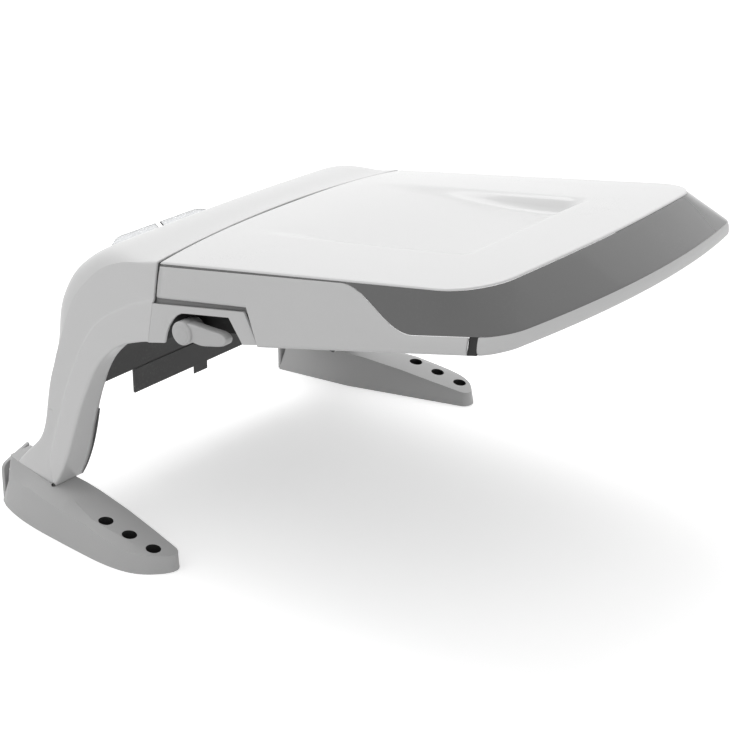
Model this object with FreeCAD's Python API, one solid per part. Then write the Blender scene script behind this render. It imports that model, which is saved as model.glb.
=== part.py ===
import FreeCAD, Part
import math
import os

# Robot mower garage: two legs on splayed screw-down feet carry an arch, and a
# hood that covers the parked mower tilts up on two gooseneck hinges in the arch.
# Millimetres. +Z is up, the mouth faces -Y, X = 0 is the mirror plane.
# The origin is on the ground, in the middle of the overall length and width.
# "u" is a distance forward of the seam between hood and arch, "w" one behind it.

V = FreeCAD.Vector

# Overall places
hood_length = 630.0          # seam to the front lip
arch_depth = 281.0           # seam to the rearmost point of the ears
seam_gap = 7.0               # open joint between hood and arch
fit = 0.3                    # gap between pieces that meet
seam_y = hood_length - (hood_length + arch_depth) / 2.0

# Leaning side faces, shared by the legs, the arch, the bezels and the hood
base_half_width = 380.0      # half width of the side faces, produced to the ground
side_lean = 0.22             # how far they lean in for each mm of height
seam_bottom_z = 308.0        # lower edge of the sides at the seam
seam_top_z = 423.0           # upper edge of the sides at the seam

# Hood
bottom_rise = 0.207          # slope of the hood's lower edge
belt_rise = 0.135            # slope of the edge between sides and top
hood_wall = 3.0
hood_crown = 16.0            # height of the top above its side edges
crown_fade = 0.6             # share of that height lost towards the front
crown_power = 2.6
lip_height = 23.0
bottom_corner = 55.0         # corner radii and front bows in plan
bottom_bow = 1250.0
belt_setback = 65.0          # top's front edge, behind the lip
belt_corner = 80.0
belt_bow = 1700.0
lip_setback = 3.0            # upper edge of the lip, behind its lower edge
shoulder_margin = 12.0       # straight side past the last station before the corner
visor_strip = 0.06           # the visor's tail, as a share of the side's height
visor_drop = 130.0           # length over which the visor widens
visor_drop_margin = 5.0      # end of that stretch, before the shoulder
block_start = 1.64           # corner blocks, as stations along the outline
block_end = 1.76
block_recess = 2.0

# Sunken panel in the hood's top
scoop_start = 25.0
scoop_deepest = hood_length - 235.0
scoop_end = hood_length - 190.0
scoop_half_width = 158.0
scoop_depth = 24.0
scoop_flank = 38.0           # width of its sloping flanks

# Legs and arch
leg_wall = 4.0
leg_inner_foot = base_half_width - 64.0    # inner face of a leg, produced to the ground
leg_inner_lean = 0.1
arch_crown = 14.0            # height of the arch's middle above its sides, at the seam
arch_crown_left = 3.0        # what is left of it behind
crown_ease = (0.12, 0.34)    # stretch where it eases off, as shares of the ridge
shoulder_rise = 36.0         # height of the arch's rounded shoulder over the leg's ridge
shoulder_up = 0.48           # where the shoulder is at its highest, as a share of the ridge
shoulder_down = (0.54, 0.82)
shoulder_power = 30.0        # higher means a tighter shoulder
arch_wall = 4.0
cover_wall = 3.0
crest_share = 0.50           # where the arch's top ends and the rear panel starts
rear_panel_z = 170.0         # lower edge of the rear panel
apron_z = 130.0
apron_half_share = 0.46
clip_half_width = 16.0       # small tab under the middle of the apron
clip_drop = 14.0

# Front edge and outer ridge of a leg as it climbs and turns into the arch, (w, z)
leg_front_line = ((138.0, 100.0), (129.0, 136.0), (121.0, 183.0), (110.0, 222.0), (96.0, 252.0),
                  (74.0, 279.0), (43.0, 297.0))
leg_ridge_line = ((42.0, 415.0), (73.0, 408.0), (115.0, 388.0), (137.0, 367.0), (152.0, 349.0),
                  (166.0, 316.0), (174.0, 281.0), (180.0, 255.0), (187.0, 225.0), (190.0, 190.0),
                  (190.0, 155.0))
leg_foot_front_w = 157.0
heel_back_w = 238.0
fin_w = 197.0
fin_z = 123.0

# Feet
foot_top_line = ((-120.0, 19.0), (34.0, 45.8), (100.0, 54.0), (157.0, 58.0), (320.0, 94.2))
# Sloping edge along the top's outer side: w, x beyond the side's half width where it starts and
# ends, and the height of its end
foot_edge_line = ((-96.0, 17.0, 36.0, 20.0), (-42.0, 17.0, 32.0, 30.0), (51.0, 17.0, 31.0, 43.2),
                  (111.0, -4.0, 21.5, 46.5), (191.0, -14.0, 7.0, 53.0), (252.0, -17.5, -12.0, 57.0),
                  (277.0, -18.8, -14.0, 58.5))
foot_wall = 5.0
foot_draft = 0.22
foot_rear_w = 275.0
# Inner and outer edge of a foot on the ground: x beyond the side's half width, and distance
foot_inner_line = ((-80.0, 0.0), (-68.0, 145.0))
foot_outer_line = ((-3.0, 257.0), (20.0, 185.0), (32.0, 110.0), (40.0, 45.0), (43.0, -17.0),
                   (36.0, -52.0), (18.0, -78.0), (-6.0, -92.0), (-21.0, -84.0))
foot_heel_x = base_half_width - 14.0
screw_x = base_half_width + 5.0
screw_first_w = 34.0
screw_pitch = 46.5
screw_count = 3
screw_head_r = 11.0
screw_hole_r = 7.0
screw_seat_z = 12.0
screw_boss_wall = 4.0

# Ears behind the heels
ear_thickness = 6.0
ear_inner_x = base_half_width - 76.0
ear_outer_x = base_half_width - 20.0
ear_height = 75.0
ear_outer_height = 57.0
ear_round = 14.0
ear_hole_x = base_half_width - 36.0
ear_hole_z = 45.0
ear_hole_r = 4.5

# Rear deflectors, two leaning plates behind the arch
deflector_rim_z = 352.0
deflector_rim_w = 274.0
deflector_foot_z = 300.0
deflector_half_width = 130.0
deflector_slot = 12.0
deflector_wall = 3.0
deflector_round = 46.0

# Bezels and recess cups around the levers
bezel_wall = 4.0
bezel_top_z = 364.0
bezel_end_u = 163.0
bezel_end_z = 387.0
bezel_toe_u = 193.0
bezel_post = 26.0
bezel_gap = 8.0              # open joint between a bezel and the hood's side
bezel_side_gap = 6.0
recess_back_u = 28.0
recess_arc_u = 60.0
recess_head = 10.0           # height of the bezel above its opening
cup_depth = 42.0
cup_wall = 3.0
cup_margin = 5.0             # room between a cup's walls and the bezel's opening
cup_rise = 4.0               # cup's lower edge above the side's lower edge

# Levers
lever_u = 58.0
lever_z = 335.0
lever_hub_r = 19.5
lever_hub_proud = 6.0        # hub beyond the bezel's face
lever_inset = 8.0            # lever's inner end short of the cup's back
lever_reach = 80.0           # hub centre to the paddle's tip
lever_tip_half = 8.0
lever_tip_rise = 6.0
lever_paddle_inset = 5.0
lever_paddle_wall = 14.0
lever_face = 9.0             # thickness of the hub's outer face
lever_wall = 3.0
lever_pin_r = 5.0
pin_clearance = 0.1

# Hood hinges
hinge_w = 55.0
hinge_z = 408.5
hinge_x = 115.0
hinge_pin_r = 3.5
hinge_barrel_r = 6.5
hinge_arm_width = 9.0
hinge_arm_depth = 11.0
hinge_lug = 6.0
hinge_side_gap = 1.0
hinge_bracket_plate = 5.0
# Centre line of a gooseneck arm from the pin to the rail, forward and up of the pin
arm_line = ((0.0, 0.0), (36.0, -41.0), (54.0, -55.0), (74.0, -55.0), (90.0, -30.0), (90.0, 0.0))
rail_start_u = 25.0
rail_end_u = 45.0
rail_z = 405.0
rail_end_gap = 6.0           # rail's ends inside the belt


def side_x(z):
    """Half width of the leaning side faces at height z."""
    return base_half_width - side_lean * z


def y_ahead(u):
    return seam_y - u


def y_behind(w):
    return seam_y + w


def bottom_z(u):
    return seam_bottom_z + bottom_rise * u


def belt_z(u):
    return seam_top_z + belt_rise * u


def foot_z(w):
    """Top of a foot, along straight runs."""
    for (w0, z0), (w1, z1) in zip(foot_top_line[:-1], foot_top_line[1:]):
        if w <= w1:
            break
    return z0 + (z1 - z0) * (w - w0) / (w1 - w0)


def mirrored(shape):
    return shape.mirror(V(0, 0, 0), V(1, 0, 0))


def save(name, shape):
    shape.exportStep("parts/" + name + ".step")


def save_pair(name, left_shape):
    save("left_" + name, left_shape)
    save("right_" + name, mirrored(left_shape))


def polygon(points):
    return Part.makePolygon(list(points) + [points[0]])


def spline(points):
    curve = Part.BSplineCurve()
    curve.interpolate(list(points))
    return curve


def prism(points, direction):
    """Solid from a flat polygon pushed along a vector."""
    return Part.Face(polygon(points)).extrude(direction)


def loft(sections):
    return Part.makeLoft([polygon(section) for section in sections], True, True)


def box(x0, x1, y0, y1, z0, z1):
    return Part.makeBox(x1 - x0, y1 - y0, z1 - z0, V(x0, y0, z0))


def rod_x(x0, x1, y, z, radius):
    return Part.makeCylinder(radius, x1 - x0, V(x0, y, z), V(1, 0, 0))


def fused(shapes):
    return shapes[0].multiFuse(shapes[1:]).removeSplitter()


# Outlines of the hood in plan

def ring(half, front, corner, bow):
    """An outline: straight sides, round corners and a bowed front."""
    reach = math.sqrt((bow - corner) ** 2 - (half - corner) ** 2)
    return {"half": half, "front": front, "corner": corner, "bow": bow,
            "corner_u": front - bow + reach, "lead": math.atan2(half - corner, reach)}


bottom_half = side_x(seam_bottom_z)
belt_half = side_x(seam_top_z)
bottom_ring = ring(bottom_half, hood_length, bottom_corner, bottom_bow)
belt_ring = ring(belt_half, hood_length - belt_setback, belt_corner, belt_bow)
shoulder_u = belt_ring["corner_u"] - shoulder_margin     # up to here all outlines are straight
visor_drop_end = shoulder_u - visor_drop_margin
visor_drop_start = visor_drop_end - visor_drop
rail_half_length = belt_half - rail_end_gap
lip_half = belt_half + (bottom_half - belt_half) * 0.75
lip_ring = ring(lip_half, hood_length - lip_setback, bottom_corner, bottom_bow)


def ring_point(r, s):
    """Point (x, u) at station s: 0 seam, 1 shoulder, 2 mid corner, 3 front centre, 6 far seam."""
    if s > 3.0:
        x, u = ring_point(r, 6.0 - s)
        return -x, u
    turn = math.pi / 2.0 - r["lead"]
    straight = r["corner_u"] - shoulder_u
    if s <= 1.0:
        return -r["half"], shoulder_u * s
    if s <= 2.0:
        along = (s - 1.0) * (straight + r["corner"] * turn / 2.0)
        if along <= straight:
            return -r["half"], shoulder_u + along
        angle = (along - straight) / r["corner"]
    else:
        along = (s - 2.0) * (r["corner"] * turn / 2.0 + r["bow"] * r["lead"])
        angle = turn / 2.0 + along / r["corner"]
        if angle > turn:
            swing = r["lead"] - (along - r["corner"] * turn / 2.0) / r["bow"]
            return -r["bow"] * math.sin(swing), r["front"] - r["bow"] * (1.0 - math.cos(swing))
    x = r["half"] - r["corner"] + r["corner"] * math.cos(angle)
    return -x, r["corner_u"] + r["corner"] * math.sin(angle)


def smooth_step(t):
    t = max(0.0, min(1.0, t))
    return t * t * (3.0 - 2.0 * t)


def shell_z(x, u):
    """Crowned top of the hood, without the sunken panel."""
    share = min(1.0, abs(x) / belt_half)
    left = 1.0 - crown_fade * smooth_step(u / (hood_length - belt_setback))
    return belt_z(u) + hood_crown * left * (1.0 - share ** crown_power)


def belt_at(s):
    x, u = ring_point(belt_ring, s)
    return V(x, y_ahead(u), shell_z(x, u))


def lip_at(s):
    x, u = ring_point(lip_ring, s)
    return V(x, y_ahead(u), bottom_z(u) + lip_height)


def bottom_at(s):
    x, u = ring_point(bottom_ring, s)
    return V(x, y_ahead(u), bottom_z(u))


def between(a, b, share):
    return a + (b - a) * share


def visor_share(s):
    """How far down from the belt towards the lip line the visor reaches."""
    u = shoulder_u * min(s, 6.0 - s)
    drop = smooth_step((u - visor_drop_start) / (visor_drop_end - visor_drop_start))
    return visor_strip + (1.0 - visor_strip) * drop


def inward(top, bottom, ahead):
    """Unit vector into the hood from the wall between two points."""
    direction = ahead.cross(bottom - top)
    direction.normalize()
    return direction


def wall_section(top, bottom, ahead, thickness, depth=0.0):
    """Cross section of a wall between two points, thickened inwards."""
    normal = inward(top, bottom, ahead)
    outer = normal * depth
    inner = normal * (depth + thickness)
    return [top + outer, bottom + outer, bottom + inner, top + inner]


def heading(s):
    """Direction of the hood's outline at a station, from left to right."""
    step = 0.01
    direction = lip_at(s + step) - lip_at(s - step)
    if s - step < 0.0 or s + step > 6.0:
        direction = V(0, -1, 0) if s < 3.0 else V(0, 1, 0)
    return direction


def spaced(start, end, count):
    return [start + (end - start) * i / (count - 1) for i in range(count)]


seam_s = seam_gap / 2.0 / shoulder_u


def half_stations():
    """Stations from the seam to the front centre, closer where the outline turns."""
    straight = spaced(seam_s, visor_drop_start / shoulder_u, 4)
    drop = spaced(visor_drop_start / shoulder_u, visor_drop_end / shoulder_u, 8)[1:]
    corner = spaced(1.0, 2.5, 16)
    return straight + drop + corner + spaced(2.5, 3.0, 4)[1:]


def make_visor():
    half = half_stations()
    stations = half + [6.0 - s for s in reversed(half[:-1])]
    sections = []
    for s in stations:
        top = belt_at(s)
        bottom = between(top, lip_at(s), visor_share(s))
        top_inner = top + inward(top, bottom, heading(s)) * hood_wall
        bottom_inner = bottom + inward(lip_at(s), bottom_at(s), heading(s)) * hood_wall
        sections.append([top, bottom, bottom_inner, top_inner])
    return loft(sections)


def make_front_lip():
    stations = spaced(block_end, 2.5, 9) + spaced(2.5, 3.5, 7)[1:-1] + spaced(3.5, 6.0 - block_end, 9)
    sections = []
    for s in stations:
        top = between(lip_at(s), bottom_at(s), fit / lip_height)
        sections.append(wall_section(top, bottom_at(s), heading(s), hood_wall))
    return loft(sections)


def make_corner_block():
    sections = []
    for s in (block_start, block_end):
        top = between(lip_at(s), bottom_at(s), fit / lip_height)
        sections.append(wall_section(top, bottom_at(s), heading(s), hood_wall, block_recess))
    return loft(sections)


def notch_z(u):
    """Lower edge of the hood's side, which steps up around the lever's bezel."""
    rise = (bezel_end_z - bezel_top_z) / bezel_end_u
    toe = bezel_toe_u + bezel_side_gap
    if u >= toe:
        return bottom_z(u)
    shoulder = bezel_end_u + bezel_side_gap
    if u <= shoulder:
        return bezel_top_z + bezel_gap + rise * u
    top = bezel_top_z + bezel_gap + rise * shoulder
    return top + (bottom_z(toe) - top) * (u - shoulder) / (toe - shoulder)


def make_side_panel():
    notch = [seam_gap / 2.0, bezel_end_u + bezel_side_gap, bezel_toe_u + bezel_side_gap]
    straight = [u / shoulder_u for u in notch]
    straight += spaced(visor_drop_start / shoulder_u, visor_drop_end / shoulder_u, 8)
    stations = straight + spaced(1.0, block_start, 7)
    sections = []
    for s in stations:
        top = between(belt_at(s), lip_at(s), visor_share(s))
        top = top + V(0, 0, -fit)
        bottom = bottom_at(s)
        if s < 1.0:
            height = belt_at(s).z - bottom.z
            bottom = between(belt_at(s), bottom, (belt_at(s).z - notch_z(shoulder_u * s)) / height)
        sections.append(wall_section(top, bottom, V(0, -1, 0), hood_wall))
    return loft(sections)


def scoop(x, u):
    """Depth of the sunken panel under the crowned top."""
    grow = smooth_step((u - scoop_start) / (scoop_deepest - scoop_start))
    ramp = smooth_step((scoop_end - u) / (scoop_end - scoop_deepest))
    across = smooth_step((scoop_half_width - abs(x)) / scoop_flank)
    return scoop_depth * grow * ramp * across


def top_z(x, u):
    return shell_z(x, u) - scoop(x, u)


def top_surface(margin):
    columns = spaced(-belt_half, belt_half, 41)
    rows = spaced(0.0, hood_length - belt_setback + margin, 36)
    grid = [[V(x, y_ahead(u), top_z(x, u)) for u in rows] for x in columns]
    surface = Part.BSplineSurface()
    surface.interpolate(grid)
    return surface.toShape()


def belt_prism(inset, low, high):
    """Upright prism inside the belt outline."""
    inner = ring(belt_half - inset, hood_length - belt_setback - inset, belt_corner - inset, belt_bow - inset)
    half = [seam_s] + spaced(1.0, 2.4, 15) + spaced(2.4, 3.0, 6)[1:]
    stations = half + [6.0 - s for s in reversed(half[:-1])]
    points = []
    for s in stations:
        x, u = ring_point(inner, s)
        points.append(V(x, y_ahead(u), low))
    return prism(points, V(0, 0, high - low))


def make_top_panel():
    margin = 10.0
    slab = top_surface(margin).extrude(V(0, 0, -hood_wall))
    return slab.common(belt_prism(hood_wall + fit, 0.0, 2.0 * seam_top_z))


def make_rail():
    """Channel under the rear of the top, open upwards, that ties the hinge arms to the hood."""
    blank = box(-rail_half_length, rail_half_length, y_ahead(rail_end_u), y_ahead(rail_start_u),
                rail_z, seam_top_z + hood_crown + belt_rise * rail_end_u)
    above = top_surface(0.0).extrude(V(0, 0, -hood_wall)).fuse(top_surface(0.0).extrude(V(0, 0, 60.0)))
    rail = max(blank.cut(above).Solids, key=lambda solid: solid.Volume)
    room = box(-rail_half_length + hood_wall, rail_half_length - hood_wall, y_ahead(rail_end_u - hood_wall),
               y_ahead(rail_start_u + hood_wall), rail_z + hood_wall, 2.0 * seam_top_z)
    return rail.cut(room)


def make_hinge_arm():
    y0 = y_behind(hinge_w)
    radius = hinge_arm_depth / 2.0
    x0 = -hinge_x - hinge_arm_width / 2.0
    pieces = [rod_x(x0, x0 + hinge_arm_width, y0, hinge_z, hinge_barrel_r)]
    for start, end in zip(arm_line[:-1], arm_line[1:]):
        run = V(0, -(end[0] - start[0]), end[1] - start[1])
        across = V(1, 0, 0).cross(run)
        across.normalize()
        across = across * radius
        a = V(x0, y0 - start[0], hinge_z + start[1])
        b = a + run
        pieces.append(prism([a - across, b - across, b + across, a + across], V(hinge_arm_width, 0, 0)))
        pieces.append(rod_x(x0, x0 + hinge_arm_width, b.y, b.z, radius))
    arm = fused(pieces)
    arm = arm.cut(rod_x(x0 - 1.0, x0 + hinge_arm_width + 1.0, y0, hinge_z, hinge_pin_r + pin_clearance))
    above_rail = box(-2.0 * hinge_x, 0.0, y0 - 400.0, y0, rail_z, rail_z + 200.0)
    barrel_room = box(-2.0 * hinge_x, 0.0, y0 - hinge_arm_depth, y0, rail_z, rail_z + 200.0)
    return arm.cut(above_rail.cut(barrel_room))


# Legs and arch

def ridge_curve():
    points = [(seam_gap / 2.0, seam_top_z)] + list(leg_ridge_line)
    return spline([V(0, w, z) for w, z in points])


def front_curve(inset=0.0):
    """Front edge of a leg from the foot to the seam, shifted into the leg by an inset."""
    points = [(leg_foot_front_w, foot_z(leg_foot_front_w))] + list(leg_front_line)
    points.append((seam_gap / 2.0, seam_bottom_z))
    curve = spline([V(0, w, z) for w, z in points])
    if inset == 0.0:
        return curve
    moved = []
    for i in range(13):
        t = curve.FirstParameter + (curve.LastParameter - curve.FirstParameter) * i / 12.0
        tangent = curve.tangent(t)[0]
        normal = V(0, tangent.z, -tangent.y)
        moved.append(curve.value(t) + normal * inset)
    return spline(moved)


def side_face(edges, x):
    """Flat face in the plane X = x from edges drawn in (w, z)."""
    face = Part.Face(Part.Wire(edges))
    face.translate(V(x, seam_y, 0))
    return face


def line(a, b):
    return Part.LineSegment(V(0, a[0], a[1]), V(0, b[0], b[1])).toShape()


outer_reach = 500.0          # beyond every side face
foot_edge_reach = 5.0        # how far a foot's edge cutter runs past the edge


def leg_prism():
    front = front_curve()
    ridge = ridge_curve()
    heel = (heel_back_w, foot_z(heel_back_w))
    foot_front = (leg_foot_front_w, foot_z(leg_foot_front_w))
    seam_low = (seam_gap / 2.0, seam_bottom_z)
    seam_high = (seam_gap / 2.0, seam_top_z)
    edges = [front.toShape(), line(seam_low, seam_high), ridge.toShape(), line(leg_ridge_line[-1], (fin_w, fin_z)),
             line((fin_w, fin_z), heel), line(heel, foot_front)]
    return side_face(edges, -outer_reach).extrude(V(outer_reach, 0, 0))


def leg_cavity_prism():
    """Room inside a leg: walled in front everywhere and behind only under the rear panel."""
    front = front_curve(leg_wall)
    start = front.value(front.FirstParameter)
    end = front.value(front.LastParameter)
    high = 2.0 * seam_top_z
    wall_w = leg_ridge_line[-2][0] - leg_wall
    low = foot_z(start.y) - 40.0
    corners = [(end.y, end.z), (-40.0, end.z), (-40.0, high), (400.0, high), (400.0, rear_panel_z - 2.0 * fit),
               (wall_w - 4.0, rear_panel_z - 2.0 * fit), (leg_ridge_line[-1][0] - leg_wall, leg_ridge_line[-1][1]),
               (fin_w - 2.0 * leg_wall, fin_z), (heel_back_w - 3.0 * leg_wall, foot_z(heel_back_w) - 40.0),
               (start.y, low), (start.y, start.z)]
    edges = [front.toShape()] + [line(a, b) for a, b in zip(corners[:-1], corners[1:])]
    return side_face(edges, -outer_reach).extrude(V(outer_reach, 0, 0))


def leg_inner_x(z):
    """Inner face of a leg, steeper than the side."""
    return leg_inner_foot - leg_inner_lean * z


def lean_wedge(outer_inset, inner_x):
    """Room between the left side face, moved in by an inset, and an inner face."""
    high = 1.1 * seam_top_z
    points = [V(-side_x(0.0) + outer_inset, -outer_reach, 0), V(-side_x(high) + outer_inset, -outer_reach, high)]
    points += [V(-inner_x(high), -outer_reach, high), V(-inner_x(0.0), -outer_reach, 0)]
    return prism(points, V(0, 2.0 * outer_reach, 0))


def make_leg():
    outside = leg_prism().common(lean_wedge(0.0, leg_inner_x))
    room = leg_cavity_prism().common(lean_wedge(leg_wall, lambda z: leg_inner_x(z) - 2.0 * cover_wall))
    return max(outside.cut(room).Solids, key=lambda solid: solid.Volume)


def make_leg_cover():
    """Inner face of a leg's lower part."""
    inner = leg_prism().common(lean_wedge(0.0, lambda z: leg_inner_x(z) - cover_wall))
    skin = inner.cut(lean_wedge(-1.0, lambda z: leg_inner_x(z)))
    under = box(-outer_reach, 0.0, -outer_reach, outer_reach, -1.0, rear_panel_z - 2.0 * fit)
    return max(skin.common(under).Solids, key=lambda solid: solid.Volume)


def shoulder_height(share):
    up = smooth_step(share / shoulder_up)
    start, end = shoulder_down
    return shoulder_rise * up * smooth_step((end - share) / (end - start))


def crown_height(share):
    start, end = crown_ease
    return arch_crown - (arch_crown - arch_crown_left) * smooth_step((share - start) / (end - start))


def arch_point(curve, t, k, depth):
    """Point on the arch's skin: t along the ridge, k across from -1 to 1, depth inwards."""
    base = curve.value(t)
    tangent = curve.tangent(t)[0]
    outward = V(0, -tangent.z, tangent.y)
    share = (t - curve.FirstParameter) / (curve.LastParameter - curve.FirstParameter)
    rise = shoulder_height(share) * (1.0 - abs(k) ** shoulder_power) + crown_height(share) * (1.0 - k * k)
    p = base + outward * (rise - depth)
    return V(k * (side_x(p.z) - leg_wall - fit), y_behind(p.y), p.z)


across_shares = (0.0, 0.2, 0.4, 0.6, 0.78, 0.88, 0.93, 0.96, 0.98, 0.992, 1.0)


def arch_skin(start, end, outer_depth, inner_depth, rows=15):
    """Crowned skin along a stretch of the ridge, as shares of its length."""
    curve = ridge_curve()
    low = curve.FirstParameter
    span = curve.LastParameter - low
    ts = [low + span * share for share in spaced(start, end, rows)]
    sections = []
    for k in [-share for share in across_shares[:0:-1]] + list(across_shares):
        outer = [arch_point(curve, t, k, outer_depth) for t in ts]
        inner = [arch_point(curve, t, k, inner_depth) for t in reversed(ts)]
        sections.append(outer + inner)
    return loft(sections)


def ridge_share(z):
    """Share of the ridge's length, below the crest, where it reaches height z."""
    curve = ridge_curve()
    low, high = crest_share, 1.0
    for _ in range(30):
        middle = (low + high) / 2.0
        t = curve.FirstParameter + (curve.LastParameter - curve.FirstParameter) * middle
        if curve.value(t).z > z:
            low = middle
        else:
            high = middle
    return low


def make_arch_top():
    return arch_skin(0.0, crest_share, 0.0, arch_wall)


def make_rear_panel():
    return arch_skin(crest_share + 0.001, ridge_share(rear_panel_z), 0.0, arch_wall)


def low_centre_w(curve, t, slope):
    """Middle of the apron's lower edge, through its thickness."""
    top = arch_point(curve, t, 0.0, arch_wall / 2.0)
    return top.y - (top.z - apron_z) * slope - seam_y


def make_apron():
    """Flat wall that hangs from the rear panel's lower edge, with a small tab."""
    curve = ridge_curve()
    t = curve.FirstParameter + (curve.LastParameter - curve.FirstParameter) * ridge_share(rear_panel_z)
    tangent = curve.tangent(t)[0]
    slope = tangent.y / tangent.z
    sections = []
    for k in spaced(-apron_half_share, apron_half_share, 9):
        top_outer = arch_point(curve, t, k, 0.0) - V(0, 0, fit)
        top_inner = arch_point(curve, t, k, arch_wall) - V(0, 0, fit)
        low_outer = V(top_outer.x, top_outer.y - (top_outer.z - apron_z) * slope, apron_z)
        low_inner = V(top_inner.x, top_inner.y - (top_inner.z - apron_z) * slope, apron_z)
        sections.append([top_outer, low_outer, low_inner, top_inner])
    apron = loft(sections)
    w = low_centre_w(curve, t, slope)
    tab = box(-clip_half_width, clip_half_width, y_behind(w - arch_wall / 4.0), y_behind(w + arch_wall / 4.0),
              apron_z - clip_drop, apron_z + clip_drop)
    return apron.fuse(tab).removeSplitter()


def rear_face_w(z):
    """Outer face of the rear panel in the mirror plane."""
    curve = ridge_curve()
    t = curve.FirstParameter + (curve.LastParameter - curve.FirstParameter) * ridge_share(z)
    return curve.value(t).y + shoulder_height(ridge_share(z)) + crown_height(ridge_share(z))


def make_deflector():
    """Left leaning plate behind the arch, with a round outer corner."""
    foot_w = rear_face_w(deflector_foot_z) - arch_wall
    rise = V(0, deflector_rim_w - foot_w, deflector_rim_z - deflector_foot_z)
    length = rise.Length
    rise.normalize()
    inner_x = -deflector_slot / 2.0
    outer_x = -deflector_half_width
    points = [(inner_x, 0.0), (inner_x, length)]
    for i in range(9):
        angle = math.pi / 2.0 * i / 8.0
        points.append((outer_x + deflector_round - deflector_round * math.sin(angle),
                       length - deflector_round + deflector_round * math.cos(angle)))
    points.append((outer_x, 0.0))
    foot = V(0, y_behind(foot_w), deflector_foot_z)
    flat = [foot + V(x, 0, 0) + rise * d for x, d in points]
    across = V(1, 0, 0).cross(rise)
    plate = prism(flat, across * deflector_wall)
    behind = arch_skin(0.0, ridge_share(rear_panel_z), -2.0 * fit, deflector_half_width / 2.0, 25)
    return max(plate.cut(behind).Solids, key=lambda solid: solid.Volume)


def make_hinge_bracket():
    """Two lugs under the arch's top with a plate between them."""
    y0 = y_behind(hinge_w)
    lug_top_z = seam_top_z + 2.0 * arch_crown
    lugs = []
    inner_half = hinge_arm_width / 2.0 + hinge_side_gap
    for side in (-1.0, 1.0):
        x = -hinge_x + side * (inner_half + hinge_lug / 2.0)
        x0 = x - hinge_lug / 2.0
        lug = rod_x(x0, x0 + hinge_lug, y0, hinge_z, hinge_barrel_r)
        lug = lug.fuse(box(x0, x0 + hinge_lug, y0 - hinge_barrel_r, y0 + 2.0 * hinge_barrel_r, hinge_z, lug_top_z))
        lugs.append(lug)
    back = y0 + hinge_barrel_r + hinge_side_gap
    plate = box(-hinge_x - inner_half, -hinge_x + inner_half, back, back + hinge_bracket_plate, hinge_z, lug_top_z)
    bracket = fused(lugs + [plate])
    bracket = bracket.cut(arch_skin(0.0, crest_share, -2.0 * shoulder_rise, arch_wall))
    return bracket.cut(rod_x(-2.0 * hinge_x, 0.0, y0, hinge_z, hinge_pin_r))


def make_hinge_pin():
    half = hinge_arm_width / 2.0 + hinge_side_gap + hinge_lug
    return rod_x(-hinge_x - half, -hinge_x + half, y_behind(hinge_w), hinge_z, hinge_pin_r)


# Feet

def foot_outline(inset, z):
    """Plan outline of the left foot, moved in by an inset."""
    inner_rear_x = base_half_width + foot_inner_line[0][0]
    inner_mid_x = base_half_width + foot_inner_line[1][0]
    outer = []
    for beyond, w in foot_outer_line:
        pull = inset if w > foot_outer_line[-3][1] else inset * 0.7
        outer.append(V(-(base_half_width + beyond - pull), y_behind(w + (inset - pull) * 1.2), z))
    rear_w = foot_rear_w - inset
    heel = V(-foot_heel_x + inset, y_behind(rear_w), z)
    inner_rear = V(-inner_rear_x - inset, y_behind(rear_w), z)
    inner_mid = V(-inner_mid_x - inset, y_behind(foot_rear_w - foot_inner_line[1][1]), z)
    tip = outer[-1] + V(-inset * 0.6, inset * 0.5, 0)
    outer[-1] = tip
    curve = spline(outer)
    edges = [curve.toShape(), Part.LineSegment(tip, inner_mid).toShape(),
             Part.LineSegment(inner_mid, inner_rear).toShape(), Part.LineSegment(inner_rear, heel).toShape(),
             Part.LineSegment(heel, outer[0]).toShape()]
    return Part.Wire(edges)


def foot_edge_cutter(inset, high):
    """Everything above the sloping outer edge of the top, moved in by an inset."""
    sections = []
    for w, start, end, end_z in foot_edge_line:
        start_x = base_half_width + start - inset
        end_x = base_half_width + end - inset
        start_z = foot_z(w) - inset
        slope = (start_z - (end_z - inset)) / (end_x - start_x)
        far_x = end_x + foot_edge_reach
        points = [(start_x, start_z), (start_x, high), (far_x, high), (far_x, start_z - slope * (far_x - start_x))]
        sections.append([V(-x, y_behind(w), z) for x, z in points])
    return loft(sections)


def foot_body(inset, low, drop):
    """Drafted foot under its sloping top, all faces moved in by an inset."""
    high = foot_z(foot_rear_w) + 20.0
    wires = [foot_outline(inset + foot_draft * max(0.0, z), z) for z in (low, high)]
    body = Part.makeLoft(wires, True, True)
    front_w = foot_top_line[0][0]
    back_w = foot_top_line[-1][0]
    top = [V(-outer_reach, y_behind(w), z - drop) for w, z in foot_top_line]
    above = [V(-outer_reach, y_behind(back_w), high + 50.0), V(-outer_reach, y_behind(front_w), high + 50.0)]
    cutter = prism(top + above, V(outer_reach, 0, 0))
    return body.cut(cutter).cut(foot_edge_cutter(drop, high))


def make_foot():
    foot = foot_body(0.0, 0.0, 0.0)
    room = foot_body(foot_wall, -1.0, foot_wall)
    for i in range(screw_count):
        y = y_behind(screw_first_w - screw_pitch * i)
        boss = Part.makeCylinder(screw_head_r + screw_boss_wall, 300.0, V(-screw_x, y, -10.0))
        room = room.cut(boss)
    foot = foot.cut(room)
    for i in range(screw_count):
        y = y_behind(screw_first_w - screw_pitch * i)
        foot = foot.cut(Part.makeCylinder(screw_head_r, 300.0, V(-screw_x, y, screw_seat_z)))
        foot = foot.cut(Part.makeCylinder(screw_hole_r, 300.0, V(-screw_x, y, -10.0)))
    return foot


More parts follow.
